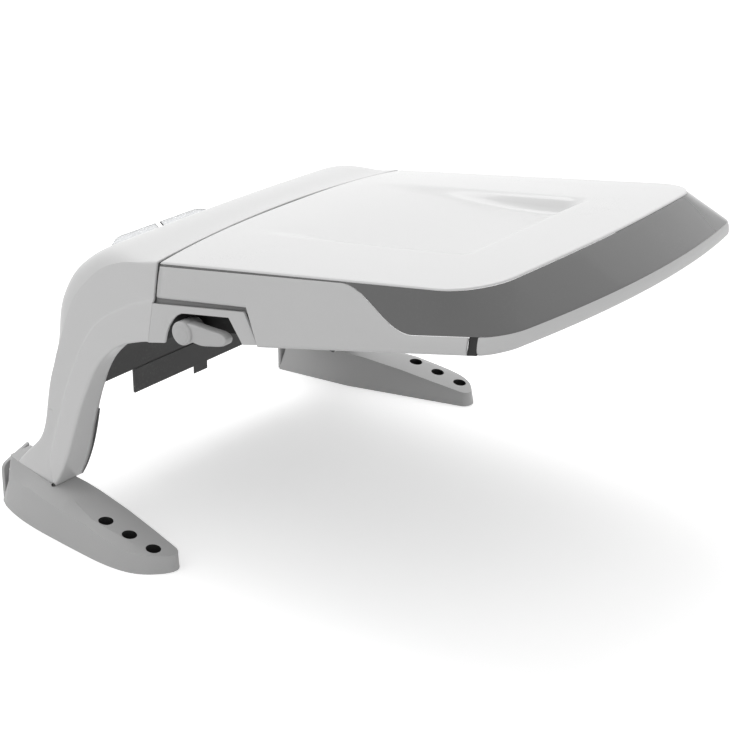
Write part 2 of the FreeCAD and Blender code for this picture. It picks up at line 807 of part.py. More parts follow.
def make_ear():
    """Upright plate behind the heel with one screw hole."""
    y0 = y_behind(arch_depth - ear_thickness)
    outline = [V(-ear_outer_x, y0, 0), V(-ear_inner_x, y0, 0), V(-ear_inner_x, y0, ear_height),
               V(-ear_outer_x, y0, ear_outer_height)]
    plate = prism(outline, V(0, ear_thickness, 0))
    corner = [edge for edge in plate.Edges if abs(edge.CenterOfMass.z - ear_outer_height) < 0.01]
    plate = plate.makeFillet(ear_round, corner)
    return plate.cut(Part.makeCylinder(ear_hole_r, 100.0, V(-ear_hole_x, y0 - 50.0, ear_hole_z), V(0, 1, 0)))


# Bezels, recess cups and levers

def bezel_height(u):
    return bezel_top_z + (bezel_end_z - bezel_top_z) * u / bezel_end_u


def side_prism(points):
    """Prism across X over a polygon in (u, z)."""
    return prism([V(-outer_reach, y_ahead(u), z) for u, z in points], V(outer_reach, 0, 0))


def recess_outline(grow):
    """Lever opening in (u, z): open at the bottom, with a round upper rear corner."""
    head = recess_head - grow
    back = recess_back_u - grow
    end = bezel_end_u - bezel_post + grow
    toe = bezel_toe_u - bezel_post + grow
    low = seam_bottom_z - 40.0
    points = [(back, low), (back, lever_z - lever_hub_r)]
    top = bezel_height(recess_arc_u) - head
    for i in range(1, 6):
        angle = math.pi / 2.0 * i / 6.0
        points.append((recess_arc_u - (recess_arc_u - back) * math.cos(angle),
                       lever_z - lever_hub_r + (top - lever_z + lever_hub_r) * math.sin(angle)))
    points += [(recess_arc_u, top), (end, bezel_height(end) - head), (toe, bottom_z(toe)), (toe, low)]
    return points


def side_slab(outer_inset, inner_inset):
    return lean_wedge(outer_inset, lambda z: side_x(z) - inner_inset)


def make_bezel():
    start = -seam_gap / 2.0
    plate = side_prism([(start, seam_bottom_z), (start, bezel_height(start)), (bezel_end_u, bezel_end_z),
                        (bezel_toe_u, bottom_z(bezel_toe_u))])
    plate = plate.common(side_slab(0.0, bezel_wall))
    return plate.cut(side_prism(recess_outline(0.0)))


def make_cup():
    """Pocket behind the bezel that holds the lever, open below and to the side."""
    outside = side_prism(recess_outline(cup_margin)).common(side_slab(bezel_wall, cup_depth))
    room = side_prism(recess_outline(cup_margin - cup_wall)).common(side_slab(bezel_wall - 1.0, cup_depth - cup_wall))
    ends = (-bezel_toe_u, 2.0 * bezel_toe_u)
    floor = [(u, bottom_z(u) + cup_rise) for u in ends] + [(u, 0.0) for u in reversed(ends)]
    return outside.cut(room).cut(side_prism(floor))


def lever_x(inset):
    return -(side_x(lever_z) - inset)


def make_lever_pin():
    """Pin that ends flush with the leaning back wall of the cup."""
    wall_middle = lever_x(cup_depth - cup_wall / 2.0)
    pin = rod_x(lever_x(lever_inset), wall_middle, y_ahead(lever_u), lever_z, lever_pin_r)
    return pin.cut(make_cup())


def make_lever():
    """Hollow round hub on a boss, with a flat paddle that points forward."""
    y0 = y_ahead(lever_u)
    outer = lever_x(-lever_hub_proud)
    inner = lever_x(cup_depth - cup_wall - lever_inset)
    face = outer + lever_face
    hub = rod_x(outer, inner, y0, lever_z, lever_hub_r)
    hub = hub.cut(rod_x(face, inner + 1.0, y0, lever_z, lever_hub_r - lever_wall))
    boss = rod_x(face, inner, y0, lever_z, lever_pin_r + lever_wall)
    tip = lever_reach
    paddle = prism([V(outer + lever_paddle_inset, y0, lever_z + lever_hub_r * 0.9),
                    V(outer + lever_paddle_inset, y0 - tip, lever_z + lever_tip_rise + lever_tip_half),
                    V(outer + lever_paddle_inset, y0 - tip, lever_z + lever_tip_rise - lever_tip_half),
                    V(outer + lever_paddle_inset, y0 - lever_hub_r, lever_z - lever_hub_r * 0.8),
                    V(outer + lever_paddle_inset, y0, lever_z - lever_hub_r * 0.9)],
                   V(lever_paddle_wall, 0, 0))
    paddle = paddle.cut(rod_x(face, inner, y0, lever_z, lever_hub_r - lever_wall))
    lever = fused([hub, paddle, boss])
    bore = rod_x(lever_x(lever_inset - pin_clearance * 5.0), 0.0, y0, lever_z, lever_pin_r + pin_clearance)
    return lever.cut(bore)


def main():
    os.makedirs("parts", exist_ok=True)
    save_pair("foot", make_foot())
    save_pair("heel_ear", make_ear())
    save_pair("leg", make_leg())
    save_pair("leg_inner_cover", make_leg_cover())
    save("arch_top", make_arch_top())
    save("rear_panel", make_rear_panel())
    save("rear_apron", make_apron())
    save_pair("rear_deflector", make_deflector())
    save_pair("hinge_bracket", make_hinge_bracket())
    save_pair("hinge_pin", make_hinge_pin())
    save_pair("lever_bezel", make_bezel())
    save_pair("recess_cup", make_cup())
    save_pair("lever_pin", make_lever_pin())
    save_pair("lever", make_lever())
    save("hood_top_panel", make_top_panel())
    save_pair("hood_side", make_side_panel())
    save("visor", make_visor())
    save("front_lip", make_front_lip())
    save_pair("corner_block", make_corner_block())
    save("hood_rear_rail", make_rail())
    save_pair("hinge_arm", make_hinge_arm())


main()
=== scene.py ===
import math
import bmesh
import bpy
import numpy as np
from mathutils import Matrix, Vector


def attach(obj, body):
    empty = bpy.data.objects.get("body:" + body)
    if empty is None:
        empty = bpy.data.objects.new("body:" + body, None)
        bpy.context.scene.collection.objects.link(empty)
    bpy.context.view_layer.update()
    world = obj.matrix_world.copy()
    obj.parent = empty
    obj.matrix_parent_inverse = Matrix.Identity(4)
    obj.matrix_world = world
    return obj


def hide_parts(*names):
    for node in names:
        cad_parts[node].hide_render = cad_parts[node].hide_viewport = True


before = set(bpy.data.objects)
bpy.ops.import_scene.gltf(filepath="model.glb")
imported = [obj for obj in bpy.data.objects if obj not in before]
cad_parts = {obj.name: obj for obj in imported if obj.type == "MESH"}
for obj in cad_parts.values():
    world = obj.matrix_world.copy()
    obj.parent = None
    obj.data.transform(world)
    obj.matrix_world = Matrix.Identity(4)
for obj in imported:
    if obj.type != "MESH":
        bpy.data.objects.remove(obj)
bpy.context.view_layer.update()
scene = bpy.context.scene
mm = 0.001

# Shared sizes, in mm as in the CAD source. u runs forward of the seam, w behind it.
body = {
    "seamY": 174.5,
    "seamGap": 7.0,
    "baseHalf": 380.0,       # half width of the leaning sides, produced to the ground
    "lean": 0.22,
    "bottomZ": 308.0,        # lower edge of the sides at the seam
    "bottomRise": 0.207,
    "beltZ": 423.0,          # upper edge of the sides at the seam
    "beltRise": 0.135,
    "wall": 3.0,
}


def sideX(z):
    return body["baseHalf"] - body["lean"] * z


def bottomZ(u):
    return body["bottomZ"] + body["bottomRise"] * u


def beltZ(u):
    return body["beltZ"] + body["beltRise"] * u


def aheadY(u):
    return body["seamY"] - u


def behindY(w):
    return body["seamY"] + w


def smoothStep(t):
    t = np.clip(t, 0.0, 1.0)
    return t * t * (3.0 - 2.0 * t)


def unit(v):
    return v / np.maximum(np.linalg.norm(v, axis=-1, keepdims=True), 1e-9)


def stack(x, y, z):
    return np.stack(np.broadcast_arrays(x, y, z), axis=-1).astype(float)


def chordKnots(points):
    steps = np.linalg.norm(np.diff(np.array(points, float), axis=0), axis=1)
    return np.concatenate([[0.0], np.cumsum(steps)])


def curveThrough(points, knots, shares):
    # smooth curve through points at shares 0..1 of the knots' span: a natural cubic spline whose second
    # derivatives solve the usual tridiagonal system
    p = np.array(points, float)
    h = np.diff(knots)
    n = len(p)
    a = np.eye(n)
    b = np.zeros_like(p)
    i = np.arange(1, n - 1)
    a[i, i - 1] = h[:-1]
    a[i, i] = 2.0 * (h[:-1] + h[1:])
    a[i, i + 1] = h[1:]
    slopes = np.diff(p, axis=0) / h[:, None]
    b[1:-1] = 6.0 * np.diff(slopes, axis=0)
    m = np.linalg.solve(a, b)
    t = np.asarray(shares, float) * knots[-1]
    k = np.clip(np.searchsorted(knots, t, side="right") - 1, 0, n - 2)
    left = (knots[k + 1] - t)[:, None]
    right = (t - knots[k])[:, None]
    hk = h[k][:, None]
    bend = (m[k] * left ** 3 + m[k + 1] * right ** 3) / (6.0 * hk)
    return bend + (p[k] / hk - m[k] * hk / 6.0) * left + (p[k + 1] / hk - m[k + 1] * hk / 6.0) * right


# Mesh helpers

weld = 0.00001               # m within which two points of a skin become one


def cellFaces(rows, cols, closeCols=False):
    # quads between neighbours of a grid of points, wound so that rows x columns points outwards
    i, j = np.meshgrid(np.arange(rows - 1), np.arange(cols if closeCols else cols - 1), indexing="ij")
    nextCol = (j + 1) % cols
    near = i * cols
    far = (i + 1) * cols
    return np.stack([near + j, far + j, far + nextCol, near + nextCol], axis=-1).reshape(-1, 4)


def buildPiece(name, points, faces, material):
    # mesh object from points in mm and a list or array of faces
    mesh = bpy.data.meshes.new(name)
    places = (np.asarray(points).reshape(-1, 3) * mm).tolist()
    mesh.from_pydata(places, [], [list(map(int, face)) for face in faces])
    mesh.validate()
    obj = bpy.data.objects.new(name, mesh)
    scene.collection.objects.link(obj)
    mesh.materials.append(material)
    mesh.shade_smooth()
    return obj


def tidyMesh(obj, outward=False):
    # drops loose and doubled points, and turns the faces outwards where asked
    bm = bmesh.new()
    bm.from_mesh(obj.data)
    bmesh.ops.remove_doubles(bm, verts=bm.verts, dist=weld)
    loose = [v for v in bm.verts if not v.link_faces]
    bmesh.ops.delete(bm, geom=loose, context="VERTS")
    if outward:
        bmesh.ops.recalc_face_normals(bm, faces=bm.faces)
    bm.to_mesh(obj.data)
    bm.free()


def thicken(obj, wall, lining=None):
    # gives a skin a wall behind it, with its own material on the inside where asked
    solid = obj.modifiers.new("wall", "SOLIDIFY")
    solid.thickness = wall * mm
    solid.offset = -1.0
    solid.use_even_offset = False
    if lining is not None:
        obj.data.materials.append(lining)
        solid.material_offset = 1


def roundEdges(obj, width, segments, angle):
    bevel = obj.modifiers.new("rounded edges", "BEVEL")
    bevel.width = width * mm
    bevel.segments = segments
    bevel.limit_method = "ANGLE"
    bevel.angle_limit = math.radians(angle)
    bevel.harden_normals = True
    bevel.use_clamp_overlap = True


def mirroredPiece(obj, name):
    # copy on the other side of the mirror plane, with its faces turned back outwards
    twin = obj.copy()
    twin.data = obj.data.copy()
    twin.name = name
    twin.data.name = name
    scene.collection.objects.link(twin)
    points = np.empty(len(twin.data.vertices) * 3)
    twin.data.vertices.foreach_get("co", points)
    points = points.reshape(-1, 3) * np.array([-1.0, 1.0, 1.0])
    twin.data.vertices.foreach_set("co", points.ravel())
    twin.data.flip_normals()
    twin.data.update()
    return twin


softening = {
    "merge": 0.00002,        # m
    "flat": 0.6,             # degrees within which triangles merge
    "angle": 30.0,           # degrees from which an edge is rounded
}


def softened(node, name, width, material, segments):
    # copy of a CAD node with its triangles merged and its edges rounded
    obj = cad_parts[node].copy()
    obj.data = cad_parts[node].data.copy()
    obj.name = name
    obj.data.name = name
    obj.parent = None
    for key in list(obj.keys()):
        del obj[key]
    scene.collection.objects.link(obj)
    bm = bmesh.new()
    bm.from_mesh(obj.data)
    bmesh.ops.remove_doubles(bm, verts=bm.verts, dist=softening["merge"])
    limit = math.radians(softening["flat"])
    bmesh.ops.dissolve_limit(bm, angle_limit=limit, verts=bm.verts, edges=bm.edges)
    bm.to_mesh(obj.data)
    bm.free()
    for old in [a.name for a in obj.data.attributes if a.name.startswith("custom_normal")]:
        obj.data.attributes.remove(obj.data.attributes[old])
    obj.data.materials.clear()
    obj.data.materials.append(material)
    obj.data.shade_smooth()
    roundEdges(obj, width, segments, softening["angle"])
    return obj


def place(obj, bodyName, slot, *nodes):
    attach(obj, bodyName)
    for node in nodes:
        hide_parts(node)


# Camera, at the photograph's place

camera = {
    "place": (-2.12175, -1.58275, 1.29676),
    "tip": 67.70,
    "turn": -52.89,
    "lens": 92.84,
    "sensor": 36.0,
}


def makeCamera():
    data = bpy.data.cameras.new("studioCamera")
    data.lens = camera["lens"]
    data.sensor_width = camera["sensor"]
    obj = bpy.data.objects.new("studioCamera", data)
    obj.location = camera["place"]
    obj.rotation_euler = (math.radians(camera["tip"]), 0.0, math.radians(camera["turn"]))
    scene.collection.objects.link(obj)
    scene.camera = obj


makeCamera()
print("camera set")


# Materials

def newGroup(name, inputs, outputs):
    # empty shader node group with named sockets: (name, kind, value) and (name, kind)
    group = bpy.data.node_groups.new(name, "ShaderNodeTree")
    for socketName, kind, value in inputs:
        socketType = "NodeSocket" + kind
        socket = group.interface.new_socket(name=socketName, in_out="INPUT", socket_type=socketType)
        socket.default_value = value
    for socketName, kind in outputs:
        group.interface.new_socket(name=socketName, in_out="OUTPUT", socket_type="NodeSocket" + kind)
    source = group.nodes.new("NodeGroupInput")
    sink = group.nodes.new("NodeGroupOutput")
    return group, source, sink


def mathNode(tree, operation, a, b=None, clamp=False):
    node = tree.nodes.new("ShaderNodeMath")
    node.operation = operation
    node.use_clamp = clamp
    for socket, value in zip(node.inputs, (a, b)):
        if value is None:
            continue
        if isinstance(value, (int, float)):
            socket.default_value = value
        else:
            tree.links.new(value, socket)
    return node.outputs[0]


def noiseNode(tree, where, scale, detail=3.0, rough=0.5):
    node = tree.nodes.new("ShaderNodeTexNoise")
    tree.links.new(where, node.inputs["Vector"])
    if isinstance(scale, (int, float)):
        node.inputs["Scale"].default_value = scale
    else:
        tree.links.new(scale, node.inputs["Scale"])
    node.inputs["Detail"].default_value = detail
    node.inputs["Roughness"].default_value = rough
    return node.outputs["Fac"]


def rangeNode(tree, value, low, high, toLow, toHigh):
    node = tree.nodes.new("ShaderNodeMapRange")
    node.clamp = True
    tree.links.new(value, node.inputs["Value"])
    for name, number in (("From Min", low), ("From Max", high), ("To Min", toLow), ("To Max", toHigh)):
        if isinstance(number, (int, float)):
            node.inputs[name].default_value = number
        else:
            tree.links.new(number, node.inputs[name])
    return node.outputs["Result"]


def makeMouldedGroup():
    # moulded plastic: spark-eroded grain, slow colour drift, flow streaks and fine dust
    inputs = [("Colour", "Color", (0.5, 0.5, 0.5, 1.0)), ("Drift", "Float", 0.05),
              ("Roughness", "Float", 0.4), ("Roughness Spread", "Float", 0.08),
              ("Grain Size", "Float", 900.0), ("Grain Depth", "Float", 0.3),
              ("Dust", "Float", 0.1), ("Dust Colour", "Color", (0.5, 0.49, 0.46, 1.0))]
    outputs = [("Colour", "Color"), ("Roughness", "Float"), ("Height", "Float")]
    group, source, sink = newGroup("mouldedPlastic", inputs, outputs)
    where = group.nodes.new("ShaderNodeTexCoord").outputs["Object"]
    slow = noiseNode(group, where, 7.0, 3.0)
    stretch = group.nodes.new("ShaderNodeMapping")
    group.links.new(where, stretch.inputs["Vector"])
    stretch.inputs["Scale"].default_value = (26.0, 5.0, 26.0)
    streak = noiseNode(group, stretch.outputs["Vector"], 1.0, 2.0)
    fine = noiseNode(group, where, source.outputs["Grain Size"], 2.0, 0.6)
    specks = noiseNode(group, where, 260.0, 4.0, 0.7)
    broad = mathNode(group, "MULTIPLY", slow, 0.7)
    narrow = mathNode(group, "MULTIPLY", streak, 0.3)
    drift = mathNode(group, "ADD", broad, narrow)
    centred = mathNode(group, "SUBTRACT", drift, 0.5)
    shift = mathNode(group, "MULTIPLY_ADD", centred, source.outputs["Drift"])
    shift.node.inputs[2].default_value = 1.0
    tone = group.nodes.new("ShaderNodeVectorMath")
    tone.operation = "SCALE"
    group.links.new(source.outputs["Colour"], tone.inputs[0])
    group.links.new(shift, tone.inputs["Scale"])
    # dust gathers in soft patches made of fine specks
    patch = rangeNode(group, slow, 0.42, 0.66, 0.0, 1.0)
    speck = rangeNode(group, specks, 0.52, 0.72, 0.0, 1.0)
    speckled = mathNode(group, "MULTIPLY", patch, speck)
    dust = mathNode(group, "MULTIPLY", speckled, source.outputs["Dust"], True)
    mix = group.nodes.new("ShaderNodeMix")
    mix.data_type = "RGBA"
    group.links.new(dust, mix.inputs["Factor"])
    group.links.new(tone.outputs["Vector"], mix.inputs["A"])
    group.links.new(source.outputs["Dust Colour"], mix.inputs["B"])
    group.links.new(mix.outputs["Result"], sink.inputs["Colour"])
    spread = mathNode(group, "MULTIPLY", centred, source.outputs["Roughness Spread"])
    fineCentred = mathNode(group, "SUBTRACT", fine, 0.5)
    fuzz = mathNode(group, "MULTIPLY", fineCentred, source.outputs["Roughness Spread"])
    rough = mathNode(group, "ADD", mathNode(group, "ADD", source.outputs["Roughness"], spread), fuzz)
    rough = mathNode(group, "ADD", rough, mathNode(group, "MULTIPLY", dust, 0.3), True)
    group.links.new(rough, sink.inputs["Roughness"])
    height = mathNode(group, "MULTIPLY", fine, source.outputs["Grain Depth"])
    group.links.new(height, sink.inputs["Height"])
    return group


moulded = makeMouldedGroup()


def plastic(name, colour, rough=0.42, spread=0.1, drift=0.05, grain=900.0, depth=0.3, dust=0.08,
            bump=0.0002, coat=0.0, coatRough=0.1, specular=0.5):
    # plastic of one colour, set up from the shared moulded plastic group
    material = bpy.data.materials.new(name)
    material.use_nodes = True
    tree = material.node_tree
    shader = tree.nodes["Principled BSDF"]
    group = tree.nodes.new("ShaderNodeGroup")
    group.node_tree = moulded
    group.inputs["Colour"].default_value = (*colour, 1.0)
    group.inputs["Drift"].default_value = drift
    group.inputs["Roughness"].default_value = rough
    group.inputs["Roughness Spread"].default_value = spread
    group.inputs["Grain Size"].default_value = grain
    group.inputs["Grain Depth"].default_value = depth
    group.inputs["Dust"].default_value = dust
    tree.links.new(group.outputs["Colour"], shader.inputs["Base Color"])
    tree.links.new(group.outputs["Roughness"], shader.inputs["Roughness"])
    relief = tree.nodes.new("ShaderNodeBump")
    relief.inputs["Distance"].default_value = bump
    relief.inputs["Strength"].default_value = 0.5
    tree.links.new(group.outputs["Height"], relief.inputs["Height"])
    tree.links.new(relief.outputs["Normal"], shader.inputs["Normal"])
    shader.inputs["Specular IOR Level"].default_value = specular
    shader.inputs["Coat Weight"].default_value = coat
    shader.inputs["Coat Roughness"].default_value = coatRough
    return material


def grey(value):
    return (value, value, value)


archGrey = plastic("archGrey", grey(0.67), rough=0.36, drift=0.04, depth=0.2, dust=0.06, coat=0.15)
# painted light: the hood top is the same plastic as the sides but given a lighter grey, as if lit from
# above
topPaintedLight = plastic("topLightGrey", grey(0.70), rough=0.3, drift=0.03, depth=0.15, dust=0.05, coat=0.3,
                   coatRough=0.08)
# painted shade: the hood sides, front lip and bezel are the same plastic as the top but given a darker grey
sideGrey = plastic("sideGrey", grey(0.62), rough=0.42, drift=0.05)
footGrey = plastic("footGrey", grey(0.46), rough=0.5, drift=0.07, depth=0.45, dust=0.2)
leverGrey = plastic("leverGrey", grey(0.52), rough=0.34, drift=0.04, coat=0.15)
# painted shade: near-black for the walls' insides, the inner covers, hinge parts, rear rail and apron,
# where the plastic lies in shade
innerGrey = plastic("innerGrey", grey(0.075), rough=0.6, drift=0.12, depth=0.5, dust=0.15)
# painted shade: dark grey for the strip over the bezel, standing for the shadowed gap
stripGrey = plastic("stripGrey", grey(0.20), rough=0.5, drift=0.08)
# painted shade: near-black for the lever cups, the corner blocks and the foot screw holes, standing for the
# dark inside their recesses
recessBlack = plastic("recessBlack", grey(0.012), rough=0.6, drift=0.2, depth=0.6, dust=0.05)
visorDark = plastic("visorDark", grey(0.10), rough=0.12, spread=0.05, drift=0.1, grain=300.0, depth=0.05,
                    dust=0.03, coat=0.7, coatRough=0.03)


def clearPlate():
    # clear polycarbonate with a faint haze and fine wipe marks
    material = bpy.data.materials.new("clearPale")
    material.use_nodes = True
    tree = material.node_tree
    shader = tree.nodes["Principled BSDF"]
    where = tree.nodes.new("ShaderNodeTexCoord").outputs["Object"]
    haze = noiseNode(tree, where, 30.0, 4.0, 0.6)
    tree.links.new(rangeNode(tree, haze, 0.35, 0.7, 0.06, 0.22), shader.inputs["Roughness"])
    wipe = noiseNode(tree, where, 120.0, 2.0, 0.5)
    ramp = tree.nodes.new("ShaderNodeMix")
    ramp.data_type = "RGBA"
    ramp.inputs["A"].default_value = (0.80, 0.81, 0.82, 1.0)
    ramp.inputs["B"].default_value = (0.88, 0.89, 0.90, 1.0)
    tree.links.new(wipe, ramp.inputs["Factor"])
    tree.links.new(ramp.outputs["Result"], shader.inputs["Base Color"])
    shader.inputs["Transmission Weight"].default_value = 0.55
    shader.inputs["IOR"].default_value = 1.2
    return material


def drawnSteel():
    # drawn steel pin: fine lines along X and slight tarnish
    material = bpy.data.materials.new("pinSteel")
    material.use_nodes = True
    tree = material.node_tree
    shader = tree.nodes["Principled BSDF"]
    where = tree.nodes.new("ShaderNodeTexCoord").outputs["Object"]
    lines = tree.nodes.new("ShaderNodeMapping")
    tree.links.new(where, lines.inputs["Vector"])
    lines.inputs["Scale"].default_value = (40.0, 2600.0, 2600.0)
    drawn = noiseNode(tree, lines.outputs["Vector"], 1.0, 3.0, 0.6)
    tree.links.new(rangeNode(tree, drawn, 0.3, 0.7, 0.22, 0.42), shader.inputs["Roughness"])
    tarnish = noiseNode(tree, where, 60.0, 3.0, 0.5)
    tone = tree.nodes.new("ShaderNodeMix")
    tone.data_type = "RGBA"
    tone.inputs["A"].default_value = (0.42, 0.42, 0.43, 1.0)
    tone.inputs["B"].default_value = (0.58, 0.58, 0.58, 1.0)
    tree.links.new(tarnish, tone.inputs["Factor"])
    tree.links.new(tone.outputs["Result"], shader.inputs["Base Color"])
    shader.inputs["Metallic"].default_value = 1.0
    return material


clearPale = clearPlate()
pinSteel = drawnSteel()
print("materials made")


# Hood: outlines in plan at the belt, the lip's upper edge and the lower edge

hood = {
    "length": 630.0,
    "crown": 16.0,
    "crownFade": 0.6,
    "crownPower": 2.6,
    "lipHeight": 23.0,
    "beltFront": 565.0,
    "beltCorner": 80.0,
    "beltBow": 1700.0,
    "shoulder": 459.7,
    "visorStrip": 0.06,
    "visorDrop": (324.7, 454.7),
    "blocks": (1.64, 1.76),
    "bottomRoll": 5.0,
    "bottomCorner": 55.0,
    "bottomBow": 1250.0,
    "lipShare": 0.75,        # where the lip lies between the belt's and the lower edge's half widths
    "beltRoll": 3.0,
    "seamRoll": 0.8,         # small rounds where two hood pieces meet
    "visorWall": 2.4,
    "sideWall": 2.6,
    "sideSeam": 0.5,         # fine gap between the visor and the side below it
    "sideBulge": 0.8,
    "lipSeam": 0.4,          # the same over the lip
    "lipTopRoll": 1.2,
    "lipRoll": 9.0,
    "lipBulge": 0.6,
    "lipBack": 3.0,          # how far the lip's upper edge lies behind the lower edge
    "bowStation": 2.6,       # station from which the columns over the front are wider apart
    "lipSteps": (56, 22),
    "wallSteps": (24, 40, 90, 16),
}
bezel = {
    "topZ": 364.0,
    "endU": 163.0,
    "endZ": 387.0,
    "toeU": 193.0,
    "gap": 8.0,
    "sideGap": 6.0,
    "flangeInset": 4.6,
    "flangeHidden": 3.0,     # how far the strip runs behind its neighbours
    "flangeRun": (0.5, 2.0),     # from this far before the seam to this far past the bezel's end
    "flangeSteps": (24, 4),
    "flangeWall": 1.4,
    "beside": 0.008,         # stations this far from a kink of the hood's lower edge get a column too
}
scoopPlan = {
    "start": 25.0,
    "deepest": 395.0,
    "end": 440.0,
    "halfWidth": 158.0,
    "depth": 24.0,
    "flank": 26.0,
}
topLoops = {
    "insets": (6.0, 10.0, 15.0, 21.0, 28.0, 36.0, 45.0, 54.0, 62.0, 68.0),
    "middle": (0.0, 285.0),
    "alongSteps": (72, 46, 22),
    "backSteps": 60,
    "innerSteps": 42,
}


def ring(half, front, corner, bow):
    reach = math.sqrt((bow - corner) ** 2 - (half - corner) ** 2)
    return {"half": half, "front": front, "corner": corner, "bow": bow,
            "cornerU": front - bow + reach, "lead": math.atan2(half - corner, reach)}


bottomHalf = sideX(body["bottomZ"])
beltHalf = sideX(body["beltZ"])
bottomRing = ring(bottomHalf, hood["length"], hood["bottomCorner"], hood["bottomBow"])
beltRing = ring(beltHalf, hood["beltFront"], hood["beltCorner"], hood["beltBow"])
lipHalf = beltHalf + (bottomHalf - beltHalf) * hood["lipShare"]
lipRing = ring(lipHalf, hood["length"] - hood["lipBack"], hood["bottomCorner"], hood["bottomBow"])


def ringPoint(r, s):
    # outline at stations s: 0 seam, 1 shoulder, 2 mid corner, 3 front centre, 6 far seam. Straight side,
    # then an arc of the corner's radius, then the shallow arc of the front
    s = np.asarray(s, float)
    far = s > 3.0
    s = np.where(far, 6.0 - s, s)
    turn = math.pi / 2.0 - r["lead"]
    straight = r["cornerU"] - hood["shoulder"]
    toMidCorner = straight + r["corner"] * turn / 2.0
    toFront = r["corner"] * turn / 2.0 + r["bow"] * r["lead"]
    along = np.where(s <= 2.0, (s - 1.0) * toMidCorner, toMidCorner + (s - 2.0) * toFront)
    angle = np.clip((along - straight) / r["corner"], 0.0, turn)
    x = r["half"] - r["corner"] + r["corner"] * np.cos(angle)
    u = r["cornerU"] + r["corner"] * np.sin(angle)
    swing = r["lead"] - np.maximum(0.0, along - straight - r["corner"] * turn) / r["bow"]
    onBow = along > straight + r["corner"] * turn
    x = np.where(onBow, r["bow"] * np.sin(swing), x)
    u = np.where(onBow, r["front"] - r["bow"] * (1.0 - np.cos(swing)), u)
    onSide = along < straight
    x = np.where(onSide, r["half"], x)
    u = np.where(onSide, np.where(s < 1.0, hood["shoulder"] * s, hood["shoulder"] + along), u)
    return np.where(far, x, -x), u


def shellZ(x, u):
    # crowned top: the belt's height plus a crown that fades towards the front
    share = np.minimum(1.0, np.abs(x) / beltHalf)
    left = 1.0 - hood["crownFade"] * smoothStep(u / hood["beltFront"])
    return beltZ(u) + hood["crown"] * left * (1.0 - share ** hood["crownPower"])


def scoopDepth(x, u):
    # sunken panel: deepens forwards, then a short ramp up, with sloping flanks
    plan = scoopPlan
    grow = smoothStep((u - plan["start"]) / (plan["deepest"] - plan["start"]))
    ramp = smoothStep((plan["end"] - u) / (plan["end"] - plan["deepest"]))
    across = smoothStep((plan["halfWidth"] - np.abs(x)) / plan["flank"])
    return plan["depth"] * grow * ramp * across


def beltLine(s):
    x, u = ringPoint(beltRing, s)
    return stack(x, aheadY(u), shellZ(x, u))


def lipLine(s):
    x, u = ringPoint(lipRing, s)
    return stack(x, aheadY(u), bottomZ(u) + hood["lipHeight"])


def bottomLine(s):
    x, u = ringPoint(bottomRing, s)
    return stack(x, aheadY(u), bottomZ(u))


def heading(s):
    # direction of the hood's outline at each station
    step = 0.01
    direction = lipLine(np.minimum(s + step, 6.0)) - lipLine(np.maximum(s - step, 0.0))
    return unit(direction)


def visorShare(s):
    u = hood["shoulder"] * np.minimum(s, 6.0 - s)
    start, end = hood["visorDrop"]
    return hood["visorStrip"] + (1.0 - hood["visorStrip"]) * smoothStep((u - start) / (end - start))


def wallRows(top, bottom, ahead, topRoll, bottomRoll, rows, bulge=0.0):
    # wall between two lines: a quarter turn in at the top, a face that may bulge, and a quarter turn in
    # at the bottom. Rows run down, columns along
    down = unit(bottom - top)
    inward = unit(np.cross(ahead, down))
    length = np.linalg.norm(bottom - top, axis=-1)[:, None]
    parts = []
    turn = np.linspace(0.0, math.pi / 2.0, 6)
    for a in turn[:-1]:
        parts.append(top + down * topRoll * (1.0 - math.cos(a)) + inward * topRoll * (1.0 - math.sin(a)))
    for share in np.linspace(0.0, 1.0, rows):
        reach = topRoll + (length - topRoll - bottomRoll) * share
        parts.append(top + down * reach - inward * bulge * math.sin(math.pi * share))
    for a in turn[1:]:
        up = down * bottomRoll * (1.0 - math.sin(a))
        parts.append(bottom - up + inward * bottomRoll * (1.0 - math.cos(a)))
    return np.stack(parts)


def stationsTo(end):
    # stations from the seam, closer together along the visor's drop and round the corner
    start, stop = (v / hood["shoulder"] for v in hood["visorDrop"])
    seam = body["seamGap"] / 2.0 / hood["shoulder"]
    marks = (seam, start, stop, hood["bowStation"], 3.0)
    runs = [np.linspace(marks[i], marks[i + 1], hood["wallSteps"][i]) for i in range(4)]
    stations = np.concatenate([run[:-1] for run in runs[:3]] + [runs[3]])
    return np.unique(np.concatenate([stations[stations < end], [end]]))


